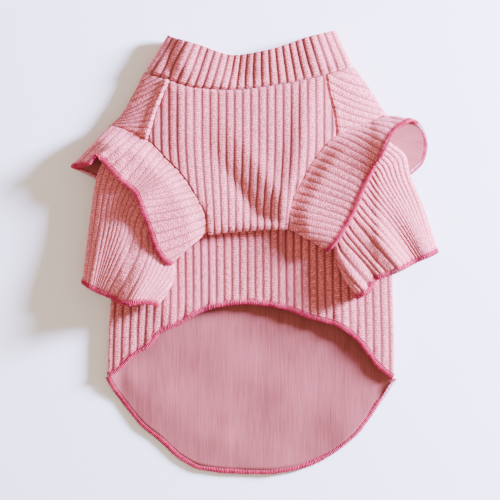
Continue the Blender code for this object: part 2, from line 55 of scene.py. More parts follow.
BACK_HEM = [
    (-0.499, -0.281), (-0.458, -0.324), (-0.371, -0.394), (-0.322, -0.419), (-0.241, -0.466),
    (-0.175, -0.487), (-0.059, -0.496), (0.042, -0.497), (0.140, -0.490), (0.227, -0.472),
    (0.308, -0.441), (0.367, -0.408), (0.441, -0.342), (0.499, -0.285),
]
LEFT_SIDE = [
    (-0.290, 0.499), (-0.177, 0.494), (-0.102, 0.487), (0.000, 0.490), (0.200, 0.502), (0.270, 0.500),
    (0.300, 0.466), (0.351, 0.416), (0.412, 0.371), (0.430, 0.360),
]
RIGHT_SIDE = [
    (-0.290, 0.499), (-0.177, 0.497), (-0.052, 0.491), (0.100, 0.488), (0.270, 0.487), (0.308, 0.477),
    (0.344, 0.438), (0.381, 0.402), (0.422, 0.357), (0.435, 0.350),
]
SIDE_CURL = 0.86
TAIL_FROM = -0.030
TAIL_TO = -0.060
TAIL_RIPPLE = 0.0005
TAIL_DIP = 0.0004
TAIL_SWELLS = [
    (-0.300, -0.350, 0.120, 0.060, 35, 0.0014),
    (-0.100, -0.430, 0.060, 0.040, -20, 0.0010),
    (-0.140, -0.395, 0.050, 0.030, 20, -0.0008),
    (0.120, -0.300, 0.140, 0.100, 60, -0.0006),
    (0.300, -0.380, 0.080, 0.050, -40, 0.0010),
    (-0.420, -0.290, 0.060, 0.040, 0, 0.0016),
]
RIB_COLUMNS = 8


def smooth(low, high, value):
    share = np.clip((value - low) / (high - low), 0.0, 1.0)
    return share * share * (3 - 2 * share)


def mix(first, second, share):
    return first + (second - first) * share


def through(stations, values):
    """A curve through the values that never swings past them."""
    stations = np.asarray(stations, float)
    values = np.asarray(values, float)
    steps = np.diff(stations)
    rises = np.diff(values) / steps
    slopes = np.zeros(len(values))
    slopes[0] = rises[0]
    slopes[-1] = rises[-1]
    for i in range(1, len(values) - 1):
        if rises[i - 1] * rises[i] > 0:
            slopes[i] = 2 * rises[i - 1] * rises[i] / (rises[i - 1] + rises[i])

    def at(station):
        station = np.clip(station, stations[0], stations[-1])
        i = np.clip(np.searchsorted(stations, station, side="right") - 1, 0, len(steps) - 1)
        t = (station - stations[i]) / steps[i]
        start = (2 * t**3 - 3 * t**2 + 1) * values[i] + (t**3 - 2 * t**2 + t) * steps[i] * slopes[i]
        end = (3 * t**2 - 2 * t**3) * values[i + 1] + (t**3 - t**2) * steps[i] * slopes[i + 1]
        return start + end

    return at


def in_metres(rows):
    return [np.array((across * BODY_WIDTH, along * BODY_LENGTH)) for across, along in rows]


def path(points):
    """A plan curve through the points, read by its share of the length."""
    lengths = [0.0]
    for start, end in zip(points, points[1:]):
        lengths.append(lengths[-1] + float(np.linalg.norm(end - start)))
    stations = np.array(lengths) / lengths[-1]
    across = through(stations, [point[0] for point in points])
    along = through(stations, [point[1] for point in points])
    return lambda share: np.stack((across(share), along(share)), axis=-1)


def line(points):
    return through([point[0] for point in points], [point[1] for point in points])


def by_length(rows, unit):
    return through([row[0] * BODY_LENGTH for row in rows], [row[1] * unit for row in rows])


left_half = by_length(LEFT_SIDE, BODY_WIDTH)
right_half = by_length(RIGHT_SIDE, BODY_WIDTH)


def half_width(side, y):
    return np.where(side < 0, left_half(y), right_half(y))


def reach(x, y):
    return np.abs(x) / half_width(x, y)


def dome(share):
    return np.sqrt(np.maximum(0.0, 1 - np.minimum(share, 1.0) ** 3))


def share_line(rows):
    points = in_metres(rows)
    return through([float(x / half_width(x, y)) for x, y in points], [y for x, y in points])


neck_rows = in_metres(NECK_SEAM)
neck_line = line(neck_rows)
body_neck = through(
    [-1 + i / 12 for i in range(25)],
    [neck_line(mix(neck_rows[0][0], neck_rows[-1][0], i / 24)) for i in range(25)],
)
back_hem = share_line(BACK_HEM)


def swell(x, y, rows):
    """Height that soft dents and swells add: centre, half sizes, turn in degrees, height in metres."""
    total = np.zeros(np.shape(x))
    for across, along, wide, long, turn, height in rows:
        dx = x - across * BODY_WIDTH
        dy = y - along * BODY_LENGTH
        c = math.cos(math.radians(turn))
        s = math.sin(math.radians(turn))
        u = (dx * c + dy * s) / (wide * BODY_WIDTH)
        v = (dy * c - dx * s) / (long * BODY_LENGTH)
        total = total + height * np.exp(-1.5 * (u * u + v * v))
    return total


def place_back(across, along):
    share = 1 - 2 * across
    y = mix(body_neck(share) - GAP, back_hem(share), along)
    x = share * half_width(share, y)
    z = CLOTH + (SIDE_RISE - CLOTH) * smooth(SIDE_CURL, 1.0, reach(x, y)) ** 2
    tail = smooth(TAIL_FROM, TAIL_TO, y)
    z = z + TAIL_RIPPLE * tail * (1 + np.sin(x * 95 + y * 40) * np.sin(y * 70 - x * 30))
    z = z + np.maximum(swell(x, y, TAIL_SWELLS), -TAIL_DIP) * tail
    return np.stack((x, y, z), axis=-1)


class Wire:
    """A shader socket that takes part in sums."""

    def __init__(self, tree, socket):
        self.tree = tree
        self.socket = socket

    def make(self, kind, settings, inputs, output=0):
        node = self.tree.nodes.new(kind)
        for key, value in settings.items():
            setattr(node, key, value)
        for key, value in inputs.items():
            if isinstance(value, Wire):
                self.tree.links.new(value.socket, node.inputs[key])
            else:
                node.inputs[key].default_value = value
        return Wire(self.tree, node.outputs[output])

    def sum(self, operation, first, second=0.0):
        return self.make("ShaderNodeMath", {"operation": operation}, {0: first, 1: second})

    def __add__(self, other):
        return self.sum("ADD", self, other)

    def __sub__(self, other):
        return self.sum("SUBTRACT", self, other)

    def __rsub__(self, other):
        return self.sum("SUBTRACT", other, self)

    def __mul__(self, other):
        return self.sum("MULTIPLY", self, other)

    def __truediv__(self, other):
        return self.sum("DIVIDE", self, other)

    def ramp(self, low, high):
        settings = {"interpolation_type": "SMOOTHSTEP"}
        return self.make("ShaderNodeMapRange", settings, {0: self, 1: low, 2: high})

    def tint(self, first, second):
        settings = {"data_type": "RGBA"}
        return self.make("ShaderNodeMix", settings, {0: self, 6: first, 7: second}, output=2)


def new_material(name, roughness):
    mat = bpy.data.materials.new(name)
    mat.use_nodes = True
    shader = mat.node_tree.nodes["Principled BSDF"]
    shader.inputs["Roughness"].default_value = roughness
    return mat, shader, Wire(mat.node_tree, None)


def noise(wire, vector, scale, detail):
    inputs = {"Vector": vector, "Scale": scale, "Detail": detail, "Roughness": 0.6}
    return wire.make("ShaderNodeTexNoise", {}, inputs)


# Right side of the knit: broad brushed wales with a groove between, narrow where the cloth is gathered
# Flecks on the pile's high spots: the knit's own pale fibres, with painted highlight
FLECK_AND_HIGHLIGHT = (0.915, 0.243, 0.292, 1.0)
CREST = (0.540, 0.114, 0.118, 1.0)
# Darker pink: painted shade in the pile's low spots, also used for the random mottling
HOLLOW_SHADE_AND_MOTTLE = (0.346, 0.073, 0.071, 1.0)
# Darker colour for painted shade in the grooves between ribs
GROOVE_SHADE = (0.210, 0.045, 0.043, 1.0)
STITCH_SLANT = 0.0018
STITCH_WAVES = 3490.0
NAP = 0.0012
NAP_SHEEN = 0.12


def knit_face(name, brink, groove_shade_weight):
    mat, shader, wire = new_material(name, 0.9)
    uv = wire.make("ShaderNodeUVMap", {"uv_map": "knit"}, {})
    across = wire.make("ShaderNodeSeparateXYZ", {}, {0: uv}, output=0)
    along = wire.make("ShaderNodeSeparateXYZ", {}, {0: uv}, output=1)
    phase = across / RIB_PITCH
    beside = wire.sum("ABSOLUTE", wire.sum("FRACT", phase + 0.5) - 0.5) * 2
    loops = noise(wire, uv, 1000.0, 2.0)
    tufts = noise(wire, uv, 420.0, 2.0)
    coords = wire.make("ShaderNodeTexCoord", {}, {}, output=3)
    cloud = noise(wire, coords, 16.0, 2.0)
    slant = wire.sum("ABSOLUTE", wire.sum("FRACT", phase * 2.0) - 0.5)
    stitches = wire.sum("SINE", (along + slant * STITCH_SLANT) * STITCH_WAVES)
    pile = loops * 0.62 + tufts * 0.38 + stitches * 0.05
    # Painted shade in the grooves between ribs, as strong as the weight given
    groove_shade = (beside + (tufts - 0.5) * 0.35).ramp(brink, 1.0) * groove_shade_weight
    # Lighter on the pile's high spots: pale fibres with painted highlight
    lit = ((pile - 0.5) * 4.0 + 0.42).ramp(0.0, 1.0)
    # Painted shade in the pile's low spots, where the bump is lowest
    pile_hollow_shade = (0.40 - (pile - 0.5) * 5.0).ramp(0.0, 1.0)
    colour = lit.tint(CREST, FLECK_AND_HIGHLIGHT)
    colour = (pile_hollow_shade * 0.8).tint(colour, HOLLOW_SHADE_AND_MOTTLE)
    colour = groove_shade.tint(colour, GROOVE_SHADE)
    colour = (((cloud - 0.5) * 1.6 + 0.1).ramp(0.0, 1.0) * 0.5).tint(colour, HOLLOW_SHADE_AND_MOTTLE)
    bump = wire.make("ShaderNodeBump", {}, {"Height": pile, "Strength": 0.8, "Distance": NAP})
    mat.node_tree.links.new(colour.socket, shader.inputs["Base Color"])
    mat.node_tree.links.new(bump.socket, shader.inputs["Normal"])
    shader.inputs["Sheen Weight"].default_value = NAP_SHEEN
    shader.inputs["Sheen Roughness"].default_value = 0.45
    shader.inputs["Sheen Tint"].default_value = (0.95, 0.82, 1.0, 1.0)
    shader.inputs["Specular IOR Level"].default_value = 0.2
    return mat


knit = knit_face("knit_face", 0.45, 1.0)
gathered = knit_face("gathered_knit_face", 0.70, 0.8)

# Reverse of the knit: smooth, with fine lines down it and soft mottling
INSIDE = (0.300, 0.074, 0.072, 1.0)
INSIDE_DARK = (0.205, 0.044, 0.042, 1.0)
LINE_DEPTH = 0.0005
reverse, reverse_shader, wire = new_material("knit_reverse", 0.9)
uv = wire.make("ShaderNodeUVMap", {"uv_map": "knit"}, {})
across = wire.make("ShaderNodeSeparateXYZ", {}, {0: uv}, output=0)
along = wire.make("ShaderNodeSeparateXYZ", {}, {0: uv}, output=1)
stretched = wire.make("ShaderNodeCombineXYZ", {}, {0: across * 1000, 1: along * 60})
lines = noise(wire, stretched, 0.75, 3.0)
broad = noise(wire, stretched, 0.16, 2.0)
coords = wire.make("ShaderNodeTexCoord", {}, {}, output=3)
cloud = noise(wire, coords, 18.0, 3.0)
shade = ((lines - 0.5) * 1.3 + (broad - 0.5) * 0.9 + (cloud - 0.5) * 1.4 + 0.42).ramp(0.0, 1.0)
colour = shade.tint(INSIDE, INSIDE_DARK)
bump = wire.make("ShaderNodeBump", {}, {"Height": lines, "Strength": 0.35, "Distance": LINE_DEPTH})
reverse.node_tree.links.new(colour.socket, reverse_shader.inputs["Base Color"])
reverse.node_tree.links.new(bump.socket, reverse_shader.inputs["Normal"])
reverse_shader.inputs["Sheen Weight"].default_value = NAP_SHEEN
reverse_shader.inputs["Specular IOR Level"].default_value = 0.2

# Cloth is pressed thin over this width along a sewn side, to this share of its thickness
SEAM_WIDTH = 0.0020
SEAM_THIN = 0.45


def rib_height(phase, relief):
    """Share of the cloth's thickness at a place across the ribs, whole numbers being crests."""
    beside = np.abs((phase + 0.5) % 1.0 - 0.5) * 2
    return 1 - relief * (0.35 * beside**2 + 0.65 * smooth(0.42, 1.0, beside))


def knit_piece(
    name, columns, rows, place, ribs, thickness,
    closed=False, phase=None, relief=0.30, surface=knit, sewn="",
):
    """Ribbed cloth: its smooth inner face is placed, and it grows outwards, thin at sewn sides."""
    bm = bmesh.new()
    bmesh.ops.create_grid(bm, x_segments=columns, y_segments=rows, size=1.0)
    spots = np.array([vert.co[:2] for vert in bm.verts])
    column = np.rint((spots[:, 0] + 1) / 2 * columns).astype(int)
    row = np.rint((1 - spots[:, 1]) / 2 * rows).astype(int)
    points = place(column / columns, row / rows)
    grid = np.zeros((rows + 1, columns + 1, 3))
    grid[row, column] = points
    steps = np.linalg.norm(np.diff(grid, axis=0), axis=2)
    runs = np.concatenate((np.zeros((1, columns + 1)), np.cumsum(steps, axis=0)))
    run = runs[row, column]
    steps = np.linalg.norm(np.diff(grid, axis=1), axis=2)
    reaches = np.concatenate((np.zeros((rows + 1, 1)), np.cumsum(steps, axis=1)), axis=1)
    sides = {
        "top": run,
        "low": runs[-1, column] - run,
        "left": reaches[row, column],
        "right": reaches[row, -1] - reaches[row, column],
    }
    turns = column / columns * ribs if phase is None else phase(column / columns, row / rows)
    weight = rib_height(turns, relief)
    for side in sewn.split():
        weight = weight * mix(SEAM_THIN, 1.0, smooth(0.0, SEAM_WIDTH, sides[side]))
    table = np.stack((turns * RIB_PITCH, run), axis=-1)
    group = bm.verts.layers.deform.verify()
    layer = bm.loops.layers.uv.new("knit")
    for vert in bm.verts:
        vert.co = points[vert.index]
        vert[group][0] = weight[vert.index]
    for face in bm.faces:
        face.smooth = True
        for loop in face.loops:
            loop[layer].uv = table[loop.vert.index]
    if closed:
        bmesh.ops.remove_doubles(bm, verts=bm.verts, dist=0.00001)
    mesh = bpy.data.meshes.new(name)
    bm.to_mesh(mesh)
    bm.free()
    mesh.materials.append(surface)
    mesh.materials.append(reverse)
    ob = bpy.data.objects.new(name, mesh)
    bpy.context.scene.collection.objects.link(ob)
    ob.vertex_groups.new(name="ribs")
    solid = ob.modifiers.new("thickness", "SOLIDIFY")
    solid.thickness = thickness
    solid.offset = 1.0
    solid.vertex_group = "ribs"
    solid.thickness_vertex_group = 0.0
    solid.material_offset = 1
    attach(ob, "root")
    return ob


body_ribs = round(BODY_WIDTH / RIB_PITCH)
back = knit_piece("back_panel_cloth", body_ribs * RIB_COLUMNS, 96, place_back, body_ribs, CLOTH)
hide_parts("back_panel")

# Belly panel
# Ribbed knit over the body, up both sides to the underside of each leg opening, under the chest's tuck.
# Its hem is overlocked and rises in the middle, which leaves the tail end open.
BELLY_HEM = [
    (-0.499, -0.277), (-0.462, -0.259), (-0.409, -0.226), (-0.353, -0.204), (-0.329, -0.178),
    (-0.273, -0.163), (-0.168, -0.126), (-0.101, -0.115), (-0.021, -0.110), (0.059, -0.114),
    (0.140, -0.126), (0.206, -0.143), (0.301, -0.160), (0.382, -0.198), (0.448, -0.254),
    (0.499, -0.281),
]
BELLY_CROWN = [(-0.300, 0.0068), (-0.110, 0.0075), (0.030, 0.0092), (0.100, 0.0085), (0.300, 0.0080)]
LEFT_ARMHOLE = [
    (-0.500, 0.283), (-0.423, 0.270), (-0.360, 0.251), (-0.290, 0.206), (-0.245, 0.177), (-0.203, 0.136),
    (-0.168, 0.093), (-0.150, 0.045),
]
RIGHT_ARMHOLE = [
    (0.478, 0.305), (0.389, 0.285), (0.336, 0.272), (0.299, 0.261), (0.266, 0.245), (0.210, 0.197),
    (0.178, 0.159), (0.134, 0.091), (0.136, 0.048),
]
CHEST_FOLD = [(-0.147, 0.036), (-0.060, 0.043), (0.080, 0.048), (0.133, 0.046)]
ARMHOLE_WIDTH = 0.018
TUCK_LAP = 0.010
HEM_RIPPLE = 0.0004
BELLY_SWELLS = [
    (-0.33, -0.10, 0.09, 0.09, 0, 0.0014),
    (0.00, -0.05, 0.20, 0.12, 0, -0.0008),
    (0.33, -0.14, 0.08, 0.10, 0, 0.0014),
    (0.14, -0.02, 0.06, 0.07, -30, -0.0005),
]
belly_crown = by_length(BELLY_CROWN, 1.0)
belly_hem = share_line(BELLY_HEM)
left_arm = in_metres(LEFT_ARMHOLE)
right_arm = in_metres(RIGHT_ARMHOLE)
arm_left = path(left_arm)
arm_right = path(right_arm)
fold_rows = in_metres(CHEST_FOLD)


def chord_out(curve, side):
    """Unit vector away from the chest, square to an armhole's chord."""
    chord = curve(1.0) - curve(0.0)
    return np.array((side * -chord[1], side * chord[0])) / np.linalg.norm(chord)


def arm_back(curve, side, share):
    return curve(share) + chord_out(curve, side) * ARMHOLE_WIDTH * math.sin(math.pi * share)


belly_top_points = [arm_back(arm_left, 1.0, i / 8) for i in range(8)]
belly_top_points += [point + np.array((0.0, TUCK_LAP)) for point in fold_rows[1:3]]
belly_top_points += [arm_back(arm_right, -1.0, i / 8) for i in range(7, -1, -1)]
belly_shares = [float(x / half_width(x, y)) for x, y in belly_top_points]
belly_shares[0] = -1.0
belly_shares[-1] = 1.0
belly_top = through(belly_shares, [y for x, y in belly_top_points])


def belly_height(x, y):
    share = reach(x, y)
    calm = 1 - smooth(0.60, 0.84, share)
    return SIDE_INNER + (belly_crown(y) - SIDE_INNER) * dome(share) + swell(x, y, BELLY_SWELLS) * calm


def place_belly(across, along):
    share = 2 * across - 1
    y = mix(belly_top(share) - 3 * GAP, belly_hem(share), along)
    x = share * half_width(share, y)
    calm = (1 - smooth(0.80, 0.97, np.abs(share))) * smooth(0.1, 0.35, along)
    z = belly_height(x, y) + HEM_RIPPLE * smooth(0.90, 1.0, along) * np.sin(x * 420) * calm
    return np.stack((x, y, z), axis=-1)


belly = knit_piece("belly_panel_cloth", body_ribs * RIB_COLUMNS, 84, place_belly, body_ribs, CLOTH)
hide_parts("belly_panel")

# Chest panel
# The front between the raglan seams. Its ribs draw together towards the lower edge, which is folded
# under and tucked over the belly panel, so that it stands up as a soft roll.
CHEST_CROWN = [(0.030, 0.0185), (0.120, 0.0183), (0.250, 0.0170), (0.360, 0.0140), (0.430, 0.0128)]
LEFT_RAGLAN = [(-0.283, 0.390), (-0.326, 0.322), (-0.360, 0.251)]
RIGHT_RAGLAN = [(0.259, 0.401), (0.270, 0.360), (0.287, 0.317), (0.299, 0.261)]
FOLD_RADIUS = 0.0026
TUCK_LENGTH = 0.012
CHEST_PINCH = 0.87
PINCH_MIDDLE = -0.020 * BODY_WIDTH
FOLD_STEP = 0.010
CURL_SPREAD = 0.006
TUCK_SPREAD = 0.010
FLAT_SHARE = 0.7
CHEST_SWELLS = [
    (-0.070, 0.140, 0.090, 0.150, 34, -0.0024),
    (-0.012, 0.118, 0.036, 0.110, 34, -0.0022),
    (0.070, 0.150, 0.040, 0.130, 34, 0.0014),
    (0.115, 0.106, 0.045, 0.110, -16, 0.0026),
    (0.185, 0.276, 0.050, 0.120, -8, 0.0018),
    (-0.235, 0.300, 0.060, 0.120, 6, 0.0016),
]
SWELL_FADE = 0.007
FOLD_IN_LEFT = 0.002
FOLD_IN_RIGHT = 0.001
SHORTEST_RIB = 0.001
CHEST_RIB_COLUMNS = 10
chest_crown = by_length(CHEST_CROWN, 1.0)


def chest_height(x, y):
    return SIDE_INNER + (chest_crown(y) - SIDE_INNER) * dome(reach(x, y))


def pinch(y):
    return mix(CHEST_PINCH, 1.0, smooth(0.02 * BODY_LENGTH, 0.26 * BODY_LENGTH, y))


def column_of(x, y):
    return PINCH_MIDDLE + (x - PINCH_MIDDLE) / pinch(y)


def column_line(points):
    """An edge read by column: the points are taken in order and never double back."""
    columns = []
    heights = []
    for x, y in points:
        column = float(column_of(x, y))
        if not columns or column > columns[-1] + 0.00001:
            columns.append(column)
            heights.append(y)
    return columns[0], columns[-1], lambda column: np.interp(column, columns, heights)


def nearest_share(curve, point):
    shares = [i / 400 for i in range(401)]
    return min(shares, key=lambda share: float(np.linalg.norm(curve(share) - point)))


def stretch(curve, start, end, count):
    return [curve(mix(start, end, i / count)) for i in range(count + 1)]


raglan_left = path(in_metres(LEFT_RAGLAN))
raglan_right = path(in_metres(RIGHT_RAGLAN))
left_meet = nearest_share(arm_left, raglan_left(1.0))
right_meet = nearest_share(arm_right, raglan_right(1.0))
neck_run = []
for i in range(61):
    x = mix(raglan_left(0.0)[0], raglan_right(0.0)[0], i / 60)
    neck_run.append(np.array((x, neck_line(x))))
chest_left, chest_right, chest_top = column_line(
    stretch(raglan_left, 1.0, 0.0, 40) + neck_run + stretch(raglan_right, 0.0, 1.0, 40)
)
left_run = stretch(arm_left, left_meet, 1.0, 200)
left_run = [point for point in left_run if point[1] > fold_rows[0][1] + FOLD_STEP]
right_run = stretch(arm_right, 1.0, right_meet, 200)
right_run = [point for point in right_run if point[1] > fold_rows[-1][1] + FOLD_STEP]
fold_line = line(fold_rows)
fold_left = float(column_of(*left_run[-1])) + FOLD_IN_LEFT
fold_right = float(column_of(*right_run[0])) - FOLD_IN_RIGHT
fold_run = []
for i in range(41):
    column = mix(fold_left, fold_right, i / 40)
    x = PINCH_MIDDLE + (column - PINCH_MIDDLE) * CHEST_PINCH
    fold_run.append((column, float(fold_line(x))))
low_left, low_right, chest_arms = column_line(left_run + right_run)
chest_left = max(chest_left, low_left) + 2 * GAP
chest_right = min(chest_right, low_right) - 2 * GAP


def chest_low(column):
    fold = np.interp(column, [c for c, y in fold_run], [y for c, y in fold_run])
    return np.where((column > fold_left) & (column < fold_right), fold, chest_arms(column))


def place_chest(across, along):
    column = mix(chest_left, chest_right, across)
    curl = smooth(fold_left - CURL_SPREAD, fold_left, column)
    curl = curl * (1 - smooth(fold_right, fold_right + CURL_SPREAD, column))
    tuck = smooth(fold_left, fold_left + TUCK_SPREAD, column)
    tuck = tuck * (1 - smooth(fold_right - TUCK_SPREAD, fold_right, column))
    top = chest_top(column) - GAP
    beside = np.maximum(chest_low(column - 3 * GAP), chest_low(column + 3 * GAP))
    low = np.maximum(beside, chest_low(column)) + GAP
    low = np.minimum(low + curl * (CLOTH + FOLD_RADIUS), top - SHORTEST_RIB)
    flat = top - low
    turned = np.maximum(along - FLAT_SHARE, 0.0) / (1 - FLAT_SHARE) * 4
    round_fold = math.pi * FOLD_RADIUS * np.minimum(turned, 3.0) / 3
    folded = flat * np.minimum(along / FLAT_SHARE, 1.0) + round_fold
    folded = folded + TUCK_LENGTH * tuck * np.maximum(turned - 3, 0.0)
    run = mix(flat * along, folded, curl)
    y = top - np.minimum(run, flat)
    x = PINCH_MIDDLE + (column - PINCH_MIDDLE) * pinch(y)
    left = np.maximum(flat - run, 0.0)
    calm = smooth(0.0, SWELL_FADE, run) * mix(1.0, smooth(0.0, SWELL_FADE, left), curl)
    z = chest_height(x, y) + swell(x, y, CHEST_SWELLS) * calm
    over = np.maximum(run - flat, 0.0)
    angle = np.minimum(over / FOLD_RADIUS, math.pi)
    y = y - FOLD_RADIUS * np.sin(angle) + np.maximum(over - math.pi * FOLD_RADIUS, 0.0)
    z = z - FOLD_RADIUS * (1 - np.cos(angle))
    return np.stack((x, y, z), axis=-1)


chest_ribs = round((chest_right - chest_left) / RIB_PITCH)
chest = knit_piece(
    "chest_panel_cloth", chest_ribs * CHEST_RIB_COLUMNS, 110, place_chest, chest_ribs, CLOTH,
    sewn="top left right",
)
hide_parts("chest_panel")

# Shoulder caps
# Raglan sleeve heads in the same knit, sewn to the chest at the raglan seam and folding round the shoulder
# to the back. Their ribs run out from the seam at a slant.
LEFT_OUTLINE = [(-0.416, 0.351), (-0.466, 0.300)]
RIGHT_OUTLINE = [(0.402, 0.381), (0.438, 0.344)]
LEFT_ROLL = 0.0018
RIGHT_ROLL = 0.0004


def patch(seam, hem, outer, inner):
    """A plan surface spanned by four curves, from the seam to the hem and from outline to underarm."""

    def at(share, along):
        s = np.asarray(share)[..., None]
        d = np.asarray(along)[..., None]
        point = (1 - d) * seam(share) + d * hem(share) + (1 - s) * outer(along) + s * inner(along)
        point = point - (1 - s) * (1 - d) * seam(0.0) - s * (1 - d) * seam(1.0)
        return point - (1 - s) * d * hem(0.0) - s * d * hem(1.0)

    return at


def cap(raglan, neck_corner, outline, arm, meet, side):
    shift = np.array((side * GAP, 0.0))
    drop = np.array((0.0, GAP))
    neck_start = raglan(0.0)[0] + side * GAP
    outer_line = path([neck_corner - drop] + in_metres(outline) + [arm(0.0) + 2 * drop])

    def neck(share):
        x = mix(neck_start, neck_corner[0], share)
        return np.stack((x, neck_line(x) - GAP), axis=-1)

    def low(share):
        return arm(meet * (1 - share)) + 2 * drop

    def inner_line(share):
        return raglan(share) + shift + (3 * np.asarray(share)[..., None] - 1) * drop

    plan = patch(neck, low, inner_line, outer_line)

    def place(across, along):
        down = across if side < 0 else 1 - across
        point = plan(along, down)
        x = point[..., 0]
        y = point[..., 1]
        roll = (LEFT_ROLL if side < 0 else RIGHT_ROLL) * np.exp(-(((along - 0.10) / 0.10) ** 2))
        return np.stack((x, y, chest_height(x, y) + roll), axis=-1)

    return place


def along_tracks(rows, count):
    """Phase of ribs that run straight between each row's two places, at the start and at the end."""
    starts = through([row[0] for row in rows], [row[1] for row in rows])
    dense = np.linspace(rows[0][0], rows[-1][0], 801)
    ends = starts(dense)

    def phase(share, along):
        turns = np.zeros(np.shape(share))
        for level in np.unique(along):
            here = along == level
            turns[here] = np.interp(share[here], mix(dense, ends, level), dense) * count
        return turns

    return phase


LEFT_CAP_TRACKS = [
    (-0.60, -0.10), (-0.20, 0.30), (-0.07, 0.40), (0.06, 0.52), (0.19, 0.70), (0.32, 0.78), (0.50, 0.88),
    (0.66, 0.96), (0.85, 1.05), (1.10, 1.20),
]
RIGHT_CAP_TRACKS = [
    (-0.60, -0.15), (-0.25, 0.20), (0.00, 0.60), (0.13, 0.82), (0.30, 0.95), (0.45, 1.08), (0.60, 1.20),
    (0.80, 1.35), (1.00, 1.50),
]
LEFT_CAP_FLAT = (0.028, 0.048)
RIGHT_CAP_FLAT = (0.031, 0.052)
CAP_FILL = 0.82
place_left_cap = cap(raglan_left, neck_rows[0], LEFT_OUTLINE, arm_left, left_meet, -1.0)
place_right_cap = cap(raglan_right, neck_rows[-1], RIGHT_OUTLINE, arm_right, right_meet, 1.0)
for label, place_cap, side, tracks, count, flat in (
    ("left", place_left_cap, -1.0, LEFT_CAP_TRACKS, 8.0, LEFT_CAP_FLAT),
    ("right", place_right_cap, 1.0, RIGHT_CAP_TRACKS, 6.5, RIGHT_CAP_FLAT),
):
    turns = along_tracks(tracks, count)

    def cap_phase(across, along, turns=turns, side=side):
        return turns(across if side < 0 else 1 - across, along)

    ob = knit_piece(
        "shoulder_cap_" + label + "_cloth", 96, 96, place_cap, 8, CLOTH, phase=cap_phase, relief=0.32,
        surface=gathered, sewn="left right top low",
    )
    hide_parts("shoulder_cap_" + label)
    CAP_FILL * flat[0] * flat[1]

# Sleeves
# Each sleeve is two gathered tiers of knit sewn into the leg opening, one inside the other: a short upper
# ruffle and a longer lower one. Both are tubes that have fallen flat, and their hems stand open a little.
RUFFLE_CLOTH = 0.0016
LAYER = RUFFLE_CLOTH + 2.5 * GAP
LEG_HOLLOW = 0.0045
HEM_FLARE = 0.0035
SLEEVE_RISE = 0.014
BED_EDGE = 0.86
BED_DROP = 0.92
BED_END = 1.34
RUFFLE_WAVE = 0.0012
RUFFLE_COLUMNS = 360
UPPER_LEFT = {
    "front": [
        (-0.626, 0.197), (-0.556, 0.203), (-0.529, 0.218), (-0.481, 0.187), (-0.436, 0.158),
        (-0.397, 0.136), (-0.371, 0.095), (-0.343, 0.048), (-0.319, 0.005), (-0.280, -0.024),
        (-0.259, -0.007),
    ],
    "back": [
        (-0.626, 0.197), (-0.546, 0.174), (-0.465, 0.127), (-0.389, 0.059), (-0.319, 0.009),
        (-0.259, -0.007),
    ],
    "outer": [(-0.500, 0.283), (-0.563, 0.240), (-0.626, 0.197)],
    "inner": [(-0.150, 0.045), (-0.203, 0.018), (-0.259, -0.007)],
    "folds": [
        (0.06, 0.14, 0.09, 0.0060), (0.30, 0.32, 0.08, 0.0026), (0.58, 0.56, 0.07, 0.0040),
        (0.80, 0.80, 0.14, 0.0016),
    ],
    "tracks": [
        (-0.20, -0.15), (0.00, 0.01), (0.14, 0.18), (0.26, 0.31), (0.37, 0.44), (0.46, 0.475), (0.59, 0.50),
        (0.71, 0.535), (0.77, 0.58), (0.82, 0.63), (0.87, 0.68), (0.91, 0.74), (0.96, 0.80), (1.15, 1.02),
    ],
    "ribs": 20.0,
    "relief": 0.20,
    "flat": (0.245, 0.045),
    "area": 0.0096,
}
UPPER_RIGHT = {
    "front": [
        (0.549, 0.301), (0.493, 0.276), (0.469, 0.254), (0.445, 0.213), (0.423, 0.193), (0.382, 0.140),
        (0.353, 0.095), (0.315, 0.052), (0.280, 0.018), (0.252, 0.006),
    ],
    "back": [
        (0.549, 0.301), (0.595, 0.283), (0.612, 0.249), (0.599, 0.211), (0.556, 0.183), (0.469, 0.127),
        (0.364, 0.054), (0.252, 0.006),
    ],
    "outer": [(0.478, 0.305), (0.515, 0.305), (0.549, 0.301)],
    "inner": [(0.136, 0.048), (0.196, 0.028), (0.252, 0.006)],
    "folds": [(0.10, 0.22, 0.26, 0.0090), (0.62, 0.62, 0.16, 0.0024), (0.90, 0.90, 0.10, 0.0010)],
    "tracks": [
        (-0.20, -0.20), (0.00, 0.00), (0.27, 0.26), (0.42, 0.39), (0.56, 0.53), (0.63, 0.59), (0.71, 0.645),
        (0.78, 0.71), (0.86, 0.78), (0.93, 0.83), (1.15, 1.02),
    ],
    "ribs": 20.0,
    "relief": 0.24,
    "flat": (0.255, 0.047),
    "area": 0.0106,
}
LOWER_LEFT = {
    "front": [
        (-0.588, -0.062), (-0.535, -0.084), (-0.490, -0.095), (-0.423, -0.113), (-0.402, -0.109),
        (-0.357, -0.108), (-0.319, -0.116),
    ],
    "outer": [(-0.475, 0.256), (-0.538, 0.174), (-0.563, 0.079), (-0.588, -0.062)],
    "inner": [
        (-0.214, 0.050), (-0.260, 0.022), (-0.297, -0.012), (-0.267, -0.045), (-0.280, -0.077),
        (-0.319, -0.116),
    ],
    "folds": [(0.16, 0.12, 0.05, 0.0014), (0.60, 0.68, 0.18, 0.0078)],
    "tracks": [
        (-0.20, -0.20), (0.00, 0.02), (0.23, 0.17), (0.38, 0.22), (0.53, 0.29), (0.62, 0.40), (0.67, 0.51),
        (0.73, 0.62), (0.90, 0.74), (1.12, 0.89), (1.40, 1.08),
    ],
    "ribs": 16.0,
    "relief": 0.22,
    "flat": (0.200, 0.085),
    "area": 0.0143,
}
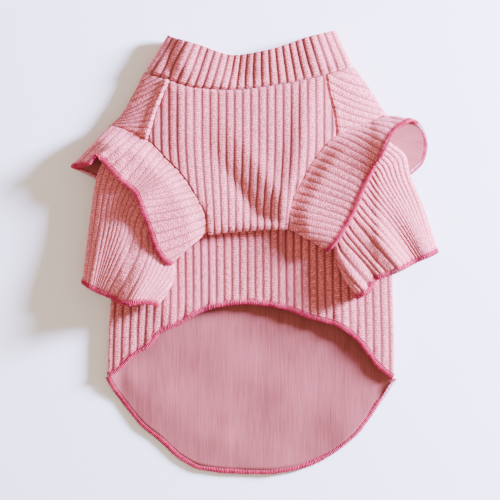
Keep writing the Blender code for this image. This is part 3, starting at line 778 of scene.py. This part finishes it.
LOWER_RIGHT = {
    "front": [
        (0.651, 0.007), (0.599, -0.009), (0.542, -0.025), (0.500, -0.040), (0.427, -0.058), (0.416, -0.070),
        (0.406, -0.082), (0.364, -0.099),
    ],
    "outer": [
        (0.432, 0.272), (0.486, 0.247), (0.546, 0.213), (0.556, 0.183), (0.599, 0.116), (0.651, 0.007),
    ],
    "inner": [
        (0.196, 0.059), (0.245, 0.040), (0.295, 0.015), (0.300, -0.018), (0.318, -0.048), (0.347, -0.082),
        (0.364, -0.099),
    ],
    "folds": [
        (0.33, 0.12, 0.08, 0.0030), (0.50, 0.28, 0.06, -0.0012), (0.62, 0.44, 0.09, 0.0042),
        (0.82, 0.72, 0.05, -0.0014), (0.97, 0.92, 0.06, 0.0024),
    ],
    "tracks": [
        (-0.20, -0.15), (0.00, 0.04), (0.15, 0.10), (0.43, 0.16), (0.59, 0.24), (0.67, 0.33), (0.78, 0.43),
        (0.87, 0.60), (0.98, 0.71), (1.06, 0.90), (1.20, 1.05),
    ],
    "ribs": 18.0,
    "relief": 0.46,
    "flat": (0.210, 0.086),
    "area": 0.0153,
}


def bed_height(x, y):
    """Top of what a sleeve lies on: the belly panel, and the floor outside it."""
    share = reach(x, y)
    on_body = belly_height(x, y) + CLOTH
    brink = SIDE_INNER + (belly_crown(y) - SIDE_INNER) * dome(BED_EDGE) + CLOTH
    off_body = brink * (1 - smooth(BED_EDGE, BED_END, share)) + 2 * GAP * smooth(BED_EDGE, BED_DROP, share)
    return np.where(share < BED_EDGE, on_body, off_body)


def turn(share):
    """Height of a tube's wall between its two folds, as a share of half its height."""
    return (1 - np.abs(2 * share - 1) ** 4) ** 0.25


def sleeve(rows, curve, side, lower):
    out = chord_out(curve, -side)
    marks = np.array([curve(i / 40) for i in range(41)])
    outer = in_metres(rows["outer"])
    inner = in_metres(rows["inner"])
    start = outer[0] - curve(0.0)
    end = inner[0] - curve(1.0)
    lift = out * (3 * GAP)

    def front_seam(share):
        s = np.asarray(share)[..., None]
        return curve(share) + (1 - s) * start + s * end + lift

    def back_seam(share):
        return front_seam(share) + out * (ARMHOLE_WIDTH * np.sin(math.pi * np.asarray(share)))[..., None]

    outer_line = path([outer[0] + lift] + outer[1:])
    inner_line = path([inner[0] + lift] + inner[1:])
    front = patch(front_seam, path(in_metres(rows["front"])), outer_line, inner_line)
    back = patch(back_seam, path(in_metres(rows.get("back", rows["front"]))), outer_line, inner_line)
    inset = RUFFLE_CLOTH / float(np.linalg.norm(curve(1.0) - curve(0.0))) * 1.2

    def place(across, along):
        ring = across if side < 0 else 1 - across
        on_front = ring <= 0.5
        share = np.where(on_front, 2 * ring, 2 - 2 * ring)
        level = turn(share)
        share = mix(inset, 1 - inset, share)
        over = np.where(on_front, 1 + level, 1 - level) / 2
        point = mix(back(share, along), front(share, along), over[..., None])
        x = point[..., 0]
        y = point[..., 1]
        bed = bed_height(x, y)
        away = np.min(np.hypot(x[..., None] - marks[:, 0], y[..., None] - marks[:, 1]), axis=-1)
        near = np.maximum(chest_height(x, y), bed + 1.3 * LAYER)
        high = mix(near, bed + 3 * LAYER + LEG_HOLLOW, smooth(0, SLEEVE_RISE, away))
        deep = bed + LAYER
        wave = RUFFLE_WAVE
        for at_seam, at_hem, spread, rise in rows["folds"]:
            wave = wave + rise * np.exp(-(((share - mix(at_seam, at_hem, along)) / spread) ** 2))
        if lower:
            beyond = smooth(0.45, 1.0, along)
            high = high + HEM_FLARE * beyond + wave * beyond - LAYER
            deep = deep + LAYER * (1 - smooth(0.5, 0.8, along))
        else:
            high = high + wave * along**1.4
        middle = (high + deep) / 2
        half = np.maximum(high - deep, 0.0005) / 2
        return np.stack((x, y, middle + half * level * np.where(on_front, 1, -1)), axis=-1)

    return place


sleeves = {}
ruffle_rows = {
    "upper_left": UPPER_LEFT,
    "upper_right": UPPER_RIGHT,
    "lower_left": LOWER_LEFT,
    "lower_right": LOWER_RIGHT,
}
for label, rows in ruffle_rows.items():
    tier, hand = label.split("_")
    lower = tier == "lower"
    curve = arm_left if hand == "left" else arm_right
    side = -1.0 if hand == "left" else 1.0
    sleeves[label] = sleeve(rows, curve, side, lower)
    turns = along_tracks(rows["tracks"], rows["ribs"])

    def sleeve_phase(across, along, turns=turns):
        return turns(np.where(across <= 0.5, 2 * across, 2 - 2 * across), along)

    rows_along = 64 if lower else 40
    ob = knit_piece(
        tier + "_ruffle_" + hand + "_cloth", RUFFLE_COLUMNS, rows_along, sleeves[label], 1, RUFFLE_CLOTH,
        closed=True, phase=sleeve_phase, relief=rows["relief"], surface=gathered, sewn="top",
    )
    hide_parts(tier + "_ruffle_" + hand)

# Collar
# A doubled band of the same knit, folded over at its top edge and sewn to the neck seam.
# Its ribs run from the seam to the fold, and it lies as a flattened ring.
COLLAR_CLOTH = 0.0030
COLLAR_HOLLOW = 0.0095
COLLAR_RIBS = 48
COLLAR_SPAN = 0.65 * BODY_WIDTH
COLLAR_TOP = [
    (-0.294, 0.487), (-0.185, 0.467), (-0.067, 0.446), (0.067, 0.458), (0.203, 0.485), (0.297, 0.500),
]
COLLAR_SWELLS = [
    (-0.235, 0.430, 0.045, 0.200, -12, 0.0034),
    (-0.290, 0.430, 0.022, 0.200, -15, -0.0022),
    (-0.050, 0.420, 0.080, 0.200, 0, -0.0030),
    (0.235, 0.440, 0.060, 0.200, 10, 0.0024),
]


def oval():
    """Places round a flattened ring by share of its length, from its left fold over the top."""
    angle = math.pi - 2 * math.pi * np.arange(1441) / 1440
    across = np.copysign(np.abs(np.cos(angle)) ** 0.8, np.cos(angle))
    high = np.copysign(np.abs(np.sin(angle)) ** 0.8, np.sin(angle))
    flatness = COLLAR_HOLLOW / COLLAR_SPAN
    steps = np.hypot(np.diff(across), flatness * np.diff(high))
    lengths = np.concatenate(([0.0], np.cumsum(steps))) / np.sum(steps)
    return lambda share: (np.interp(share, lengths, across), np.interp(share, lengths, high))


collar_oval = oval()
top_rows = in_metres(COLLAR_TOP)
top_middle = (top_rows[0][0] + top_rows[-1][0]) / 2
top_half = (top_rows[-1][0] - top_rows[0][0]) / 2
collar_top = through([(x - top_middle) / top_half for x, y in top_rows], [y for x, y in top_rows])
seam_middle = (neck_rows[0][0] + neck_rows[-1][0]) / 2
seam_half = (neck_rows[-1][0] - neck_rows[0][0]) / 2


def place_collar(across, along):
    share, high = collar_oval(across)
    middle = mix(top_middle, seam_middle, along)
    half = mix(top_half, seam_half, along) - COLLAR_CLOTH
    seam = neck_line(seam_middle + (seam_half - COLLAR_CLOTH) * share)
    y = mix(collar_top(share), seam, along)
    x = middle + half * share
    z = COLLAR_CLOTH + COLLAR_HOLLOW / 2 * (1 + high)
    calm = 1 - smooth(0.55, 1.0, along)
    z = z + np.where(high > 0, swell(x, y, COLLAR_SWELLS) * high * calm, 0.0)
    return np.stack((x, y, z), axis=-1)


collar = knit_piece(
    "collar_cloth", COLLAR_RIBS * RIB_COLUMNS, 40, place_collar, COLLAR_RIBS, COLLAR_CLOTH,
    closed=True, relief=0.28, sewn="low",
)
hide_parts("collar")

# Overlock edging
# Deep pink thread wound closely over every free edge, with a needle thread along its inner side.
# One coil of thread wraps each edge, flat and a little uneven.
EDGING_WIDTH = 0.0042
EDGING_THICKNESS = 0.0028
EDGING_OUT = 0.0010
THREAD = 0.00042
COIL_PITCH = 0.00115
COIL_STEPS = 12
HEM_POINTS = 1600
NEEDLE_THREAD = 0.00022
NEEDLE_INSET = 0.0012
NEEDLE_HEIGHT = 0.98
# The thread's deep pink as it looks in shade and as it looks lit: painted shade and painted highlight
THREAD_IN_SHADE = (0.25, 0.004, 0.026, 1.0)
THREAD_IN_LIGHT = (0.57, 0.030, 0.098, 1.0)
thread, thread_shader, wire = new_material("overlock_thread", 0.55)
coords = wire.make("ShaderNodeTexCoord", {}, {}, output=3)
# Random patches of painted highlight and painted shade along the thread
thread_light_patches = noise(wire, coords, 260.0, 2.0)
shade = (thread_light_patches * 1.4 - 0.2).ramp(0.0, 1.0)
colour = shade.tint(THREAD_IN_SHADE, THREAD_IN_LIGHT)
thread.node_tree.links.new(colour.socket, thread_shader.inputs["Base Color"])
thread_shader.inputs["Specular IOR Level"].default_value = 0.25


def unit(vectors):
    return vectors / np.linalg.norm(vectors, axis=-1, keepdims=True)


def edge_frames(place, closed, count):
    """Points along the last row of a sheet, with the ways out from the cloth and up from it."""
    share = np.arange(count) / count if closed else np.linspace(0, 1, count)
    hem = place(share, np.ones(count))
    inside = place(share, np.full(count, 0.985))
    if closed:
        run = unit(np.roll(hem, -1, axis=0) - np.roll(hem, 1, axis=0))
    else:
        run = unit(np.gradient(hem, axis=0))
    out = hem - inside
    out = unit(out - run * np.sum(out * run, axis=-1, keepdims=True))
    up = unit(np.cross(out, run))
    return hem, out, up


def tube(name, points, radius, closed):
    curve = bpy.data.curves.new(name, "CURVE")
    curve.dimensions = "3D"
    curve.bevel_depth = radius
    curve.bevel_resolution = 0
    curve.use_fill_caps = True
    spline = curve.splines.new("POLY")
    spline.points.add(len(points) - 1)
    weighted = np.concatenate((points, np.ones((len(points), 1))), axis=1)
    spline.points.foreach_set("co", weighted.ravel())
    spline.use_cyclic_u = closed
    curve.materials.append(thread)
    ob = bpy.data.objects.new(name, curve)
    bpy.context.scene.collection.objects.link(ob)
    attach(ob, "root")
    return ob


def edging(name, node, place, thickness, closed):
    hem, out, up = edge_frames(place, closed, HEM_POINTS)
    centre = hem + up * thickness / 2 + out * EDGING_OUT
    centre[:, 2] = np.maximum(centre[:, 2], EDGING_THICKNESS / 2)
    steps = np.linalg.norm(np.diff(centre, axis=0), axis=1)
    lengths = np.concatenate(([0.0], np.cumsum(steps)))
    turns = round(lengths[-1] / COIL_PITCH)
    place_at = np.linspace(0, lengths[-1], turns * COIL_STEPS + 1)

    def along(values):
        return np.stack([np.interp(place_at, lengths, values[:, i]) for i in range(3)], axis=-1)

    angle = 2 * math.pi * np.arange(turns * COIL_STEPS + 1) / COIL_STEPS
    uneven = 1 + 0.10 * np.sin(place_at * 2300) + 0.06 * np.sin(place_at * 5100)
    wide = (EDGING_WIDTH / 2 - THREAD) * uneven[:, None] * np.cos(angle)[:, None]
    high = (EDGING_THICKNESS / 2 - THREAD) * np.sin(angle)[:, None]
    coil = along(centre) + along(out) * wide + along(up) * high
    ob = tube(name, coil, THREAD, False)
    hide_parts(node)
    needle = hem[::4] + up[::4] * (thickness * NEEDLE_HEIGHT) - out[::4] * NEEDLE_INSET
    return ob, tube(name + "_needle_thread", needle, NEEDLE_THREAD, closed)


threads = edging("belly_hem_thread", "belly_hem_edging", place_belly, CLOTH, False)
threads = edging("back_hem_thread", "back_hem_edging", place_back, CLOTH, False)
for label, place in sleeves.items():
    tier, hand = label.split("_")
    threads = edging(label + "_thread", tier + "_edging_" + hand, place, RUFFLE_CLOTH, True)

# Floor, light and camera
# A plain pale floor, one soft cool light from the right and a weak warm one from the left,
# in warm surrounding light. The camera looks straight down.
FLOOR_DROP = 0.0002
LENS = 200
SENSOR = 36
VIEW_WIDTH = 0.350
VIEW_HEIGHT = 0.01
floor_mesh = bpy.data.meshes.new("floor")
bm = bmesh.new()
bmesh.ops.create_grid(bm, x_segments=1, y_segments=1, size=3.0)
for vert in bm.verts:
    vert.co.z = -FLOOR_DROP
bm.to_mesh(floor_mesh)
bm.free()
floor = bpy.data.objects.new("floor", floor_mesh)
bpy.context.scene.collection.objects.link(floor)
white, white_shader = new_material("floor", 0.9)[:2]
white_shader.inputs["Base Color"].default_value = (0.93, 0.93, 0.93, 1.0)
floor_mesh.materials.append(white)


def area_light(name, spot, size, power, colour):
    """A round soft light at a spot, turned to the top."""
    light = bpy.data.lights.new(name, "AREA")
    light.shape = "DISK"
    light.size = size
    light.energy = power
    light.color = colour
    ob = bpy.data.objects.new(name, light)
    bpy.context.scene.collection.objects.link(ob)
    ob.location = spot
    way = -np.array(spot)
    flat = math.hypot(way[0], way[1])
    ob.rotation_euler = (math.atan2(flat, -way[2]), 0.0, math.atan2(way[1], way[0]) - math.pi / 2)


area_light("key", (1.424, 0.518, 0.525), 0.42, 350.0, (0.72, 0.76, 1.28))
area_light("fill", (-1.3, -0.2, 1.1), 1.0, 7.0, (1.0, 0.80, 0.62))
world = bpy.data.worlds.new("world")
bpy.context.scene.world = world
world.use_nodes = True
world.node_tree.nodes["Background"].inputs["Color"].default_value = (1.0, 0.80, 0.66, 1.0)
world.node_tree.nodes["Background"].inputs["Strength"].default_value = 0.92

camera = bpy.data.cameras.new("camera")
camera.lens = LENS
camera.sensor_width = SENSOR
camera.clip_start = 0.05
camera_object = bpy.data.objects.new("camera", camera)
bpy.context.scene.collection.objects.link(camera_object)
camera_object.location = (-0.0007, 0.0014, VIEW_HEIGHT + VIEW_WIDTH * LENS / SENSOR)
camera_object.rotation_euler = (0.0, 0.0, 0.0)
bpy.context.scene.camera = camera_object
